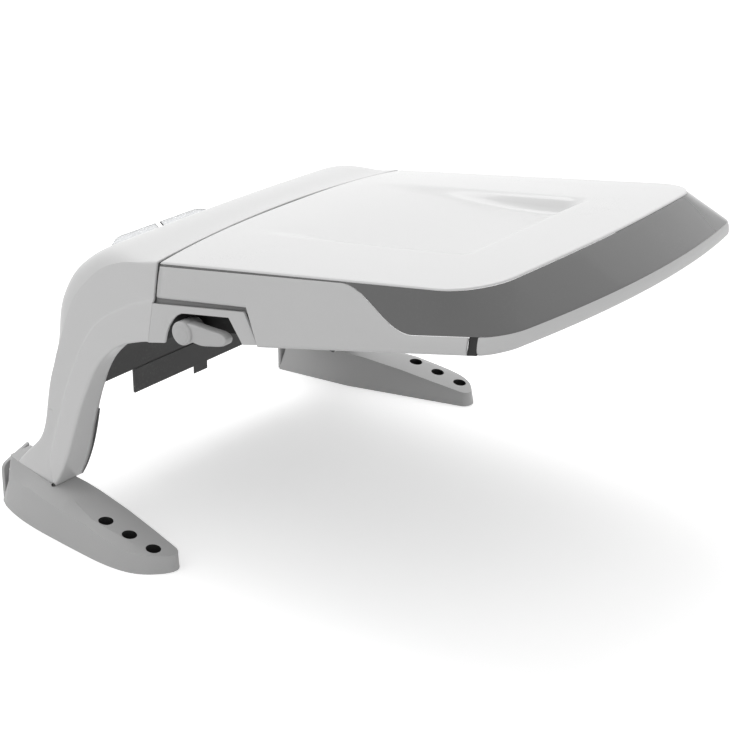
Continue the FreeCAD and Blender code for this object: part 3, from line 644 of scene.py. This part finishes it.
def makeHoodTop():
    # top panel: loops of the belt outline, each moved in by a distance from the edge, rise over a quarter
    # round and then follow the crowned and sunken top. The last loops shrink to one point in the middle
    roll = hood["beltRoll"]
    seam = body["seamGap"] / 2.0
    turn = np.linspace(0.0, math.pi / 2.0, 7)
    insets = np.concatenate([roll * (1.0 - np.sin(turn)), topLoops["insets"]])
    insets = np.unique(np.round(insets, 4))
    toShoulder, toCorner, toFront = topLoops["alongSteps"]
    bow = hood["bowStation"]
    side = np.concatenate([np.linspace(0.0, 1.0, toShoulder)[:-1], np.linspace(1.0, bow, toCorner)[:-1],
                           np.linspace(bow, 3.0, toFront)])
    half = np.concatenate([side, (6.0 - side)[::-1][1:]])
    loops = []
    for inset in insets:
        inner = ring(beltHalf - inset, hood["beltFront"] - inset, hood["beltCorner"] - inset,
                     hood["beltBow"] - inset)
        x, u = ringPoint(inner, half)
        rear = seam + inset
        u = np.where(np.abs(half - 3.0) >= 2.0, rear + u * (hood["shoulder"] - rear) / hood["shoulder"], u)
        backX = np.linspace(inner["half"], -inner["half"], topLoops["backSteps"])[1:-1]
        backU = np.full(len(backX), rear)
        loops.append(np.stack([np.concatenate([x, backX]), np.concatenate([u, backU])], axis=-1))
    last = loops[-1]
    middle = np.array(topLoops["middle"])
    shares = np.linspace(0.0, 1.0, topLoops["innerSteps"])[1:-1]
    loops += [last + (middle - last) * share for share in shares]
    plan = np.array(loops)
    x, u = plan[..., 0], plan[..., 1]
    edge = np.concatenate([insets, np.full(len(shares), insets[-1])])[:, None]
    drop = roll - np.sqrt(np.maximum(0.0, roll ** 2 - np.maximum(0.0, roll - edge) ** 2))
    z = shellZ(x, u) - scoopDepth(x, u) - drop
    points = stack(x, aheadY(u), z)
    rows, cols = x.shape
    faces = cellFaces(rows, cols, closeCols=True)
    centreZ = float(shellZ(middle[0], middle[1]) - scoopDepth(middle[0], middle[1]))
    centre = np.array([[middle[0], aheadY(middle[1]), centreZ]])
    base = (rows - 1) * cols
    index = np.arange(cols)
    fan = np.stack([base + index, np.full(cols, rows * cols), base + (index + 1) % cols], axis=-1)
    allPoints = np.concatenate([points.reshape(-1, 3), centre])
    obj = buildPiece("hoodTopSkin", allPoints, list(faces) + list(fan), topPaintedLight)
    tidyMesh(obj, outward=True)
    # an open skin can come out of the tidy facing down
    if obj.data.polygons[len(faces) // 2].normal.z < 0.0:
        obj.data.flip_normals()
    thicken(obj, body["wall"], innerGrey)
    place(obj, "hood", "top_light", "hood_top_panel")


def makeVisor():
    # glossy visor: a wall between the belt and its own lower edge, which drops from a thin line to the lip
    half = stationsTo(3.0)
    s = np.concatenate([half, (6.0 - half)[::-1][1:]])
    full = beltLine(s)
    top = full - np.array([0.0, 0.0, hood["beltRoll"]])
    bottom = full + (lipLine(s) - full) * visorShare(s)[:, None]
    rows = wallRows(top, bottom, heading(s), hood["seamRoll"], hood["seamRoll"], 16)
    obj = buildPiece("visorSkin", rows, cellFaces(*rows.shape[:2]), visorDark)
    thicken(obj, hood["visorWall"], innerGrey)
    place(obj, "hood", "visor_dark", "visor")


def notchZ(u):
    # lower edge of the hood's side, which steps up round the lever's bezel
    rise = (bezel["endZ"] - bezel["topZ"]) / bezel["endU"]
    toe = bezel["toeU"] + bezel["sideGap"]
    shoulder = bezel["endU"] + bezel["sideGap"]
    start = bezel["topZ"] + bezel["gap"]
    high = start + rise * shoulder
    slope = high + (bottomZ(toe) - high) * (u - shoulder) / (toe - shoulder)
    return np.where(u >= toe, bottomZ(u), np.where(u <= shoulder, start + rise * u, slope))


def makeHoodSide():
    # side wall from under the visor's tail to the lower edge, which turns in with a soft roll
    notch = (np.array([bezel["endU"], bezel["toeU"]]) + bezel["sideGap"]) / hood["shoulder"]
    beside = bezel["beside"]
    s = np.unique(np.concatenate([stationsTo(hood["blocks"][0]), notch, notch - beside, notch + beside]))
    full = beltLine(s)
    top = full + (lipLine(s) - full) * visorShare(s)[:, None]
    top[:, 2] -= hood["sideSeam"]
    low = bottomLine(s)
    u = body["seamY"] - full[:, 1]
    share = (full[:, 2] - notchZ(u)) / (full[:, 2] - low[:, 2])
    low = np.where((s < 1.0)[:, None], full + (low - full) * share[:, None], low)
    rows = wallRows(top, low, heading(s), hood["seamRoll"], hood["bottomRoll"], 18, hood["sideBulge"])
    obj = buildPiece("hoodSideLeft", rows, cellFaces(*rows.shape[:2]), sideGrey)
    thicken(obj, hood["sideWall"], innerGrey)
    twin = mirroredPiece(obj, "hoodSideRight")
    place(obj, "hood", "side_grey", "left_hood_side")
    place(twin, "hood", "side_grey", "right_hood_side")


def makeFrontLip():
    # pale lip under the visor: a short wall with a large roll along its lower edge
    start = hood["blocks"][1]
    bow = hood["bowStation"]
    toCorner, toFront = hood["lipSteps"]
    half = np.concatenate([np.linspace(start, bow, toCorner)[:-1], np.linspace(bow, 3.0, toFront)])
    s = np.concatenate([half, (6.0 - half)[::-1][1:]])
    top = lipLine(s)
    top[:, 2] -= hood["lipSeam"]
    low = bottomLine(s)
    rows = wallRows(top, low, heading(s), hood["lipTopRoll"], hood["lipRoll"], 10, hood["lipBulge"])
    obj = buildPiece("frontLipSkin", rows, cellFaces(*rows.shape[:2]), sideGrey)
    thicken(obj, hood["sideWall"], innerGrey)
    place(obj, "hood", "side_grey", "front_lip")


makeHoodTop()
makeVisor()
makeHoodSide()
makeFrontLip()
print("hood made")


# Legs and arch: one moulded skin. Matching points (w, z) along the front edge, the crease and the ridge.

leg = {
    "front": ((3.5, 308), (14, 306), (26, 302.5), (40, 298), (52, 293), (64, 286), (77, 275), (93, 256),
              (104, 235), (113, 210), (121, 183), (130, 140), (137, 106), (146, 80), (157, 58)),
    "crease": ((3.5, 368), (22, 362), (45, 353), (70, 339), (92, 326), (108, 312), (122, 293), (135, 266),
               (145, 240), (153, 213), (159, 184), (165, 149), (170, 118), (172, 92), (160, 58.7)),
    "ridge": ((3.5, 423), (42, 415), (73, 408), (115, 388), (137, 367), (152, 349), (166, 316), (174, 281),
              (180, 255), (187, 225), (190, 190), (190, 155), (197, 123), (216, 101), (238, 76)),
    "panelZ": 170.0,         # lower edge of the rear panel
    "panelPoint": 11,        # the last ridge point that the arch's own swelling is measured to
    "shoulder": 36.0,        # how far the arch swells over the ridge
    "shoulderUp": 0.48,
    "shoulderDown": (0.54, 0.82),
    "shoulderPower": 30.0,
    "crown": 14.0,
    "crownLeft": 3.0,
    "crownEase": (0.12, 0.34),
    "innerFoot": 316.0,
    "innerLean": 0.1,
    "frontRoll": 4.0,
    "ridgeRoll": 4.0,
    "ridgeRollLeast": 0.6,   # where the arch swells, so the ridge is nearly sharp
    "step": 2.0,             # height of the step along the crease
    "stepWidth": 5.0,
    "wall": 3.0,
    "upperRows": 150,
    "lowerRows": 40,
    "archColumns": 49,
    "archPower": 2.2,        # crowds the arch's columns towards the ridge
}


def legInnerX(z):
    return leg["innerFoot"] - leg["innerLean"] * z


def archSwell(share):
    # how far the arch stands over the ridge, at shares of the ridge down to the panel
    start, end = leg["shoulderDown"]
    fall = smoothStep((end - share) / (end - start))
    shoulder = leg["shoulder"] * smoothStep(share / leg["shoulderUp"]) * fall
    start, end = leg["crownEase"]
    crown = leg["crown"] - (leg["crown"] - leg["crownLeft"]) * smoothStep((share - start) / (end - start))
    return shoulder[:, None], crown[:, None]


def archColumns(ridge, outward, shoulder, crown, roll):
    # from the ridge to the mirror plane: offset = shoulder (1 - k^30) + crown (1 - k^2), k = 1 at the ridge
    columns = []
    for share in np.linspace(0.0, 1.0, leg["archColumns"])[1:]:
        k = 1.0 - share ** leg["archPower"]
        wz = ridge + outward * (shoulder * (1.0 - k ** leg["shoulderPower"]) + crown * (1.0 - k * k))
        columns.append(stack(-k * (sideX(wz[:, 1]) - roll), behindY(wz[:, 0]), wz[:, 1]))
    return columns


def legColumns(t, toMiddle):
    # columns of the skin at shares t along the leg: front wall, rolled front edge, face up to the crease,
    # a small smooth step, face up to the ridge, rolled ridge, and then the arch or the back wall
    knots = chordKnots(leg["ridge"])
    front, crease, ridge = (curveThrough(leg[name], knots, t) for name in ("front", "crease", "ridge"))
    ahead = unit(np.gradient(ridge, axis=0))
    outward = np.stack([-ahead[:, 1], ahead[:, 0]], axis=-1)
    up = unit(crease - front)
    over = unit(ridge - crease)
    shoulder, crown = archSwell(t * knots[-1] / knots[leg["panelPoint"]])
    least = leg["ridgeRollLeast"]
    ridgeRoll = least + (leg["ridgeRoll"] - least) * (1.0 - smoothStep(shoulder / 10.0))
    columns = []

    def add(wz, inset):
        x = -(sideX(wz[:, 1]) - inset)
        columns.append(stack(x, behindY(wz[:, 0]), wz[:, 1]))

    deep = sideX(front[:, 1]) - legInnerX(front[:, 1])
    roll = leg["frontRoll"]
    for share in np.linspace(1.0, 0.0, 7):
        add(front, roll + (deep - roll) * share)
    for a in np.linspace(0.0, math.pi / 2.0, 6)[1:]:
        add(front + up * roll * (1.0 - math.cos(a)), roll * (1.0 - math.sin(a)))
    half = leg["stepWidth"] / 2.0
    low = front + up * roll
    creaseLow = crease - up * half
    for share in np.linspace(0.0, 1.0, 12)[1:]:
        add(low + (creaseLow - low) * share, 0.0)
    creaseHigh = crease + over * half
    for share in np.linspace(0.0, 1.0, 6)[1:]:
        add(creaseLow + (creaseHigh - creaseLow) * share, leg["step"] * float(smoothStep(share)))
    ridgeLow = ridge - outward * ridgeRoll
    for share in np.linspace(0.0, 1.0, 14)[1:]:
        add(creaseHigh + (ridgeLow - creaseHigh) * share, leg["step"] * (1.0 - float(smoothStep(share))))
    for a in np.linspace(0.0, math.pi / 2.0, 6)[1:]:
        add(ridge - outward * ridgeRoll * (1.0 - math.sin(a)), (ridgeRoll * (1.0 - math.cos(a)))[:, 0])
    if toMiddle:
        columns += archColumns(ridge, outward, shoulder, crown, ridgeRoll[:, 0])
    else:
        start = sideX(ridge[:, 1]) - ridgeRoll[:, 0]
        for share in np.linspace(0.0, 1.0, 10)[1:]:
            x = start + (legInnerX(ridge[:, 1]) - start) * share
            columns.append(stack(-x, behindY(ridge[:, 0]), ridge[:, 1]))
    return np.stack(columns, axis=1)


def panelEnd():
    # share of the ridge at the rear panel's lower edge
    shares = np.linspace(0.0, 1.0, 2001)
    ridge = curveThrough(leg["ridge"], chordKnots(leg["ridge"]), shares)
    return float(shares[np.argmax(ridge[:, 1] < leg["panelZ"])])


def makeArchShell():
    end = panelEnd()
    upper = legColumns(np.linspace(0.0, end, leg["upperRows"]), True)
    lower = legColumns(np.linspace(end, 1.0, leg["lowerRows"]), False)
    points, faces = [], []
    count = 0
    for sheet in (upper, lower):
        cells = cellFaces(*sheet.shape[:2])
        for side in (1.0, -1.0):
            points.append(sheet.reshape(-1, 3) * np.array([side, 1.0, 1.0]))
            faces.append((cells[:, ::-1] if side > 0.0 else cells) + count)
            count += len(points[-1])
    obj = buildPiece("archShell", np.concatenate(points), np.concatenate(faces), archGrey)
    tidyMesh(obj)
    thicken(obj, leg["wall"], innerGrey)
    place(obj, "frame", "side_grey", "left_leg", "right_leg", "arch_top", "rear_panel")


makeArchShell()
print("arch and legs made")


# Levers: a domed round hub with a flat paddle

lever = {
    "u": 58.0,
    "z": 335.0,
    "radius": 17.5,
    "proud": 6.0,
    "length": 36.0,
    "sides": 48,
    "dome": 2.6,
    "hubRound": 3.5,
    "backBevel": 1.0,
    "backRadius": 9.0,
    "edgeRound": 0.4,
    "edgeAngle": 50.0,
    "paddleInset": (6.5, 22.0),
    "paddleRound": 3.4,
    "outlineSteps": 96,
    "outline": ((-2, 14), (10, 16), (30, 15.5), (56, 14.5), (72, 13), (79, 8), (78, 1), (68, -5), (50, -9),
                (28, -12), (16, -11), (6, -13), (-4, -12), (-9, 1)),
}


def hubProfile():
    # (depth from the outer face, radius): a shallow dome, a soft shoulder, a barrel and a flat back
    a = np.linspace(0.0, math.pi / 2.0, 9)
    radius = lever["radius"]
    edge = lever["hubRound"]
    dome = np.stack([lever["dome"] * (1.0 - np.cos(a * 0.9)), (radius - edge) * np.sin(a)], axis=-1)[1:]
    shoulderDepth = dome[-1, 0] + edge * (1.0 - np.cos(a))
    shoulder = np.stack([shoulderDepth, radius - edge + edge * np.sin(a)], axis=-1)[1:]
    end = lever["length"]
    bevel = lever["backBevel"]
    back = np.array([[end - bevel, radius], [end, radius - bevel], [end, lever["backRadius"]]])
    return np.concatenate([dome, shoulder, back])


def closedLoops(points):
    # faces between closed loops of points, and one face over each end
    rows, cols = points.shape[:2]
    ends = [list(range(cols)), list(range(cols * (rows - 1), cols * rows))]
    return [list(face) for face in cellFaces(rows, cols, closeCols=True)] + ends


def makeHub(outerX, y):
    # the profile turned about the lever's axis: y + r cos a, z + r sin a
    profile = hubProfile()
    turn = np.linspace(0.0, 2.0 * math.pi, lever["sides"] + 1)[:-1]
    depth, radius = profile[:, 0][:, None], profile[:, 1][:, None]
    return stack(outerX + depth + 0.0 * turn, y + radius * np.cos(turn), lever["z"] + radius * np.sin(turn))


def makePaddle(outerX, y):
    # the outline drawn through points, in loops that round the outer face's edge by a quarter turn
    outline = np.array(list(lever["outline"]) + [lever["outline"][0]], float)
    shares = np.linspace(0.0, 1.0, lever["outlineSteps"] + 1)[:-1]
    path = curveThrough(outline, chordKnots(outline), shares)
    tangent = unit(np.roll(path, -1, axis=0) - np.roll(path, 1, axis=0))
    inside = np.stack([tangent[:, 1], -tangent[:, 0]], axis=-1)
    near, far = lever["paddleInset"]
    size = lever["paddleRound"]
    loops = []
    for a in np.linspace(0.0, math.pi / 2.0, 6):
        loops.append((near + size * (1.0 - math.sin(a)), size * (1.0 - math.cos(a))))
    loops = loops[::-1] + [(far, 0.0)]
    rows = []
    for depth, inset in loops:
        flat = path + inside * inset
        rows.append(stack(outerX + depth, y - flat[:, 0], lever["z"] + flat[:, 1]))
    return np.stack(rows)


def makeLever():
    outerX = -(sideX(lever["z"]) + lever["proud"])
    y = aheadY(lever["u"])
    hub = makeHub(outerX, y)
    paddle = makePaddle(outerX, y)
    count = hub.shape[0] * hub.shape[1]
    faces = closedLoops(hub) + [[i + count for i in face] for face in closedLoops(paddle)]
    points = np.concatenate([hub.reshape(-1, 3), paddle.reshape(-1, 3)])
    obj = buildPiece("leverLeft", points, faces, leverGrey)
    tidyMesh(obj, outward=True)
    roundEdges(obj, lever["edgeRound"], 2, lever["edgeAngle"])
    twin = mirroredPiece(obj, "leverRight")
    place(obj, "left_lever", "lever_grey", "left_lever")
    place(twin, "right_lever", "lever_grey", "right_lever")


def makeFlange():
    # set-back strip over the bezel: a band between the bezel's top and the hood's lower edge, in a dark
    # grey of painted shade for the gap
    first, past = bezel["flangeRun"]
    along, down = bezel["flangeSteps"]
    u = np.linspace(first, bezel["endU"] + past, along)
    top = notchZ(u) + bezel["flangeHidden"]
    low = notchZ(u) - bezel["gap"] - bezel["flangeHidden"]
    rows = []
    for share in np.linspace(0.0, 1.0, down):
        z = top + (low - top) * share
        rows.append(stack(-(sideX(z) - bezel["flangeInset"]), aheadY(u), z))
    rows = np.stack(rows)
    obj = buildPiece("bezelFlangeLeft", rows, cellFaces(*rows.shape[:2]), stripGrey)
    thicken(obj, bezel["flangeWall"])
    twin = mirroredPiece(obj, "bezelFlangeRight")
    place(obj, "frame", "side_grey")
    place(twin, "frame", "side_grey")


makeLever()
makeFlange()
print("levers made")


# Smaller pieces that keep their CAD shape, with rounded edges

def paintShadeWhere(obj, material, test):
    # puts a second material, painted shade, on the faces that a test of centre and normal picks, in mm
    obj.data.materials.append(material)
    for face in obj.data.polygons:
        if test(np.array(obj.matrix_world @ face.center) / mm, np.array(face.normal)):
            face.material_index = 1


footHoles = {
    "x": 385.0,
    "first": 34.0,
    "pitch": 46.5,
    "count": 3,
    "radius": 11.0,
    "margin": 0.4,
}


def inScrewHole(centre, normal):
    # inside the three counterbores of a foot, below its top, where painted shade goes
    w = centre[1] - body["seamY"]
    places = [footHoles["first"] - footHoles["pitch"] * i for i in range(footHoles["count"])]
    gap = min(math.hypot(abs(centre[0]) - footHoles["x"], w - place) for place in places)
    return gap < footHoles["radius"] + footHoles["margin"] and normal[2] < 0.9


def makeSoftened():
    rounded = (
        ("foot", 2.2, footGrey, "foot_grey", "frame"),
        ("heel_ear", 1.2, footGrey, "foot_grey", "frame"),
        ("lever_bezel", 1.3, sideGrey, "side_grey", "frame"),
        ("rear_deflector", 0.4, clearPale, "clear_pale", "frame"),
        # corner blocks in near-black painted shade, standing for the dark gaps at the hood's front corners
        ("corner_block", 0.8, recessBlack, "recess_black", "hood"),
    )
    for node, width, material, slotName, bodyName in rounded:
        for side in ("left", "right"):
            name = side + "_" + node
            obj = softened(name, "soft_" + name, width, material, 3)
            place(obj, bodyName, slotName, name)
            if node == "foot":
                # the counterbores' walls are painted near-black as shade
                paintShadeWhere(obj, recessBlack, inScrewHole)
            if node == "rear_deflector":
                # painted shade: the plate's rim faces are made near-black, standing for the dark edge of
                # the clear plate
                plate = max(obj.data.polygons, key=lambda face: face.area).normal.copy()
                paintShadeWhere(obj, innerGrey, lambda centre, normal: abs(np.dot(normal, plate)) < 0.7)
    apron = softened("rear_apron", "soft_rear_apron", 0.8, innerGrey, 2)
    place(apron, "frame", "inner_grey", "rear_apron")


def dressNodes():
    # materials of the CAD nodes that keep their own mesh
    # painted shade: the inner covers, hinge bracket and arm and rear rail get near-black, and the lever
    # cups the recesses' near-black
    finish = {"leg_inner_cover": innerGrey, "hinge_bracket": innerGrey, "hinge_pin": pinSteel,
              "recess_cup": recessBlack, "lever_pin": pinSteel, "hood_rear_rail": innerGrey,
              "hinge_arm": innerGrey}
    for name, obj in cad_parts.items():
        plain = name.replace("left_", "").replace("right_", "")
        if plain in finish:
            obj.data.materials.clear()
            obj.data.materials.append(finish[plain])


makeSoftened()
dressNodes()
print("small pieces made")


# Floor, light and background

studio = {
    "floor": 0.80,
    "seenFloor": 0.97,       # what the camera and mirrored or clear surfaces see
    "lift": 0.42,
    "world": 0.74,
    "key": 22.0,
    "keyPlace": (0.5, 0.7, 2.4),
    "keyTarget": (0.0, 0.0, 0.3),
    "keySize": (1.8, 1.4),
    "floorReach": 9.0,
    "bendStart": 3.2,
    "bendRadius": 1.0,
    "wallTop": 6.0,
}


def makeFloor():
    # pale floor that curves up into the backdrop behind the garage
    start = studio["bendStart"]
    radius = studio["bendRadius"]
    reach = studio["floorReach"]
    turn = np.linspace(0.0, math.pi / 2.0, 13)
    bend = [(start + math.sin(a) * radius, radius * (1.0 - math.cos(a))) for a in turn]
    profile = np.array([(-reach, 0.0)] + bend + [(start + radius, studio["wallTop"])])
    turned = math.radians(-camera["turn"])
    away = np.array([math.sin(turned), math.cos(turned)])
    side = np.array([-away[1], away[0]])
    across = np.linspace(-reach, reach, 3)
    points = np.array([[list(away * d + side * a) + [h] for a in across] for d, h in profile]) / mm
    obj = buildPiece("studioFloor", points, cellFaces(*points.shape[:2]), floorMaterial())


def seenRays(tree):
    # 1 for rays that the camera sees straight, mirrored or through a clear surface
    path = tree.nodes.new("ShaderNodeLightPath")
    seen = path.outputs["Is Camera Ray"]
    for name in ("Is Glossy Ray", "Is Transmission Ray"):
        seen = mathNode(tree, "MAXIMUM", seen, path.outputs[name])
    return seen


def floorMaterial():
    material = bpy.data.materials.new("studioPaper")
    material.use_nodes = True
    tree = material.node_tree
    shader = tree.nodes["Principled BSDF"]
    tone = tree.nodes.new("ShaderNodeMix")
    tone.data_type = "RGBA"
    tone.inputs["A"].default_value = (*grey(studio["floor"]), 1.0)
    tone.inputs["B"].default_value = (*grey(studio["seenFloor"]), 1.0)
    tree.links.new(seenRays(tree), tone.inputs["Factor"])
    tree.links.new(tone.outputs["Result"], shader.inputs["Base Color"])
    shader.inputs["Roughness"].default_value = 0.9
    shader.inputs["Specular IOR Level"].default_value = 0.1
    shader.inputs["Emission Color"].default_value = (1.0, 1.0, 1.0, 1.0)
    lift = mathNode(tree, "MULTIPLY", seenRays(tree), studio["lift"])
    tree.links.new(lift, shader.inputs["Emission Strength"])
    return material


def makeWorld():
    world = bpy.data.worlds.new("studioWorld")
    scene.world = world
    world.use_nodes = True
    tree = world.node_tree
    background = tree.nodes["Background"]
    background.inputs["Color"].default_value = (1.0, 1.0, 1.0, 1.0)
    strength = rangeNode(tree, seenRays(tree), 0.0, 1.0, studio["world"], 1.0)
    tree.links.new(strength, background.inputs["Strength"])


def makeLamp(name, place, target, size, power):
    data = bpy.data.lights.new(name, "AREA")
    data.shape = "RECTANGLE"
    data.size, data.size_y = size
    data.energy = power
    obj = bpy.data.objects.new(name, data)
    obj.location = place
    direction = Vector(target) - Vector(place)
    obj.rotation_euler = direction.to_track_quat("-Z", "Y").to_euler()
    scene.collection.objects.link(obj)


makeFloor()
makeWorld()
makeLamp("keyPanel", studio["keyPlace"], studio["keyTarget"], studio["keySize"], studio["key"])
scene.view_settings.view_transform = "Standard"
print("studio set")
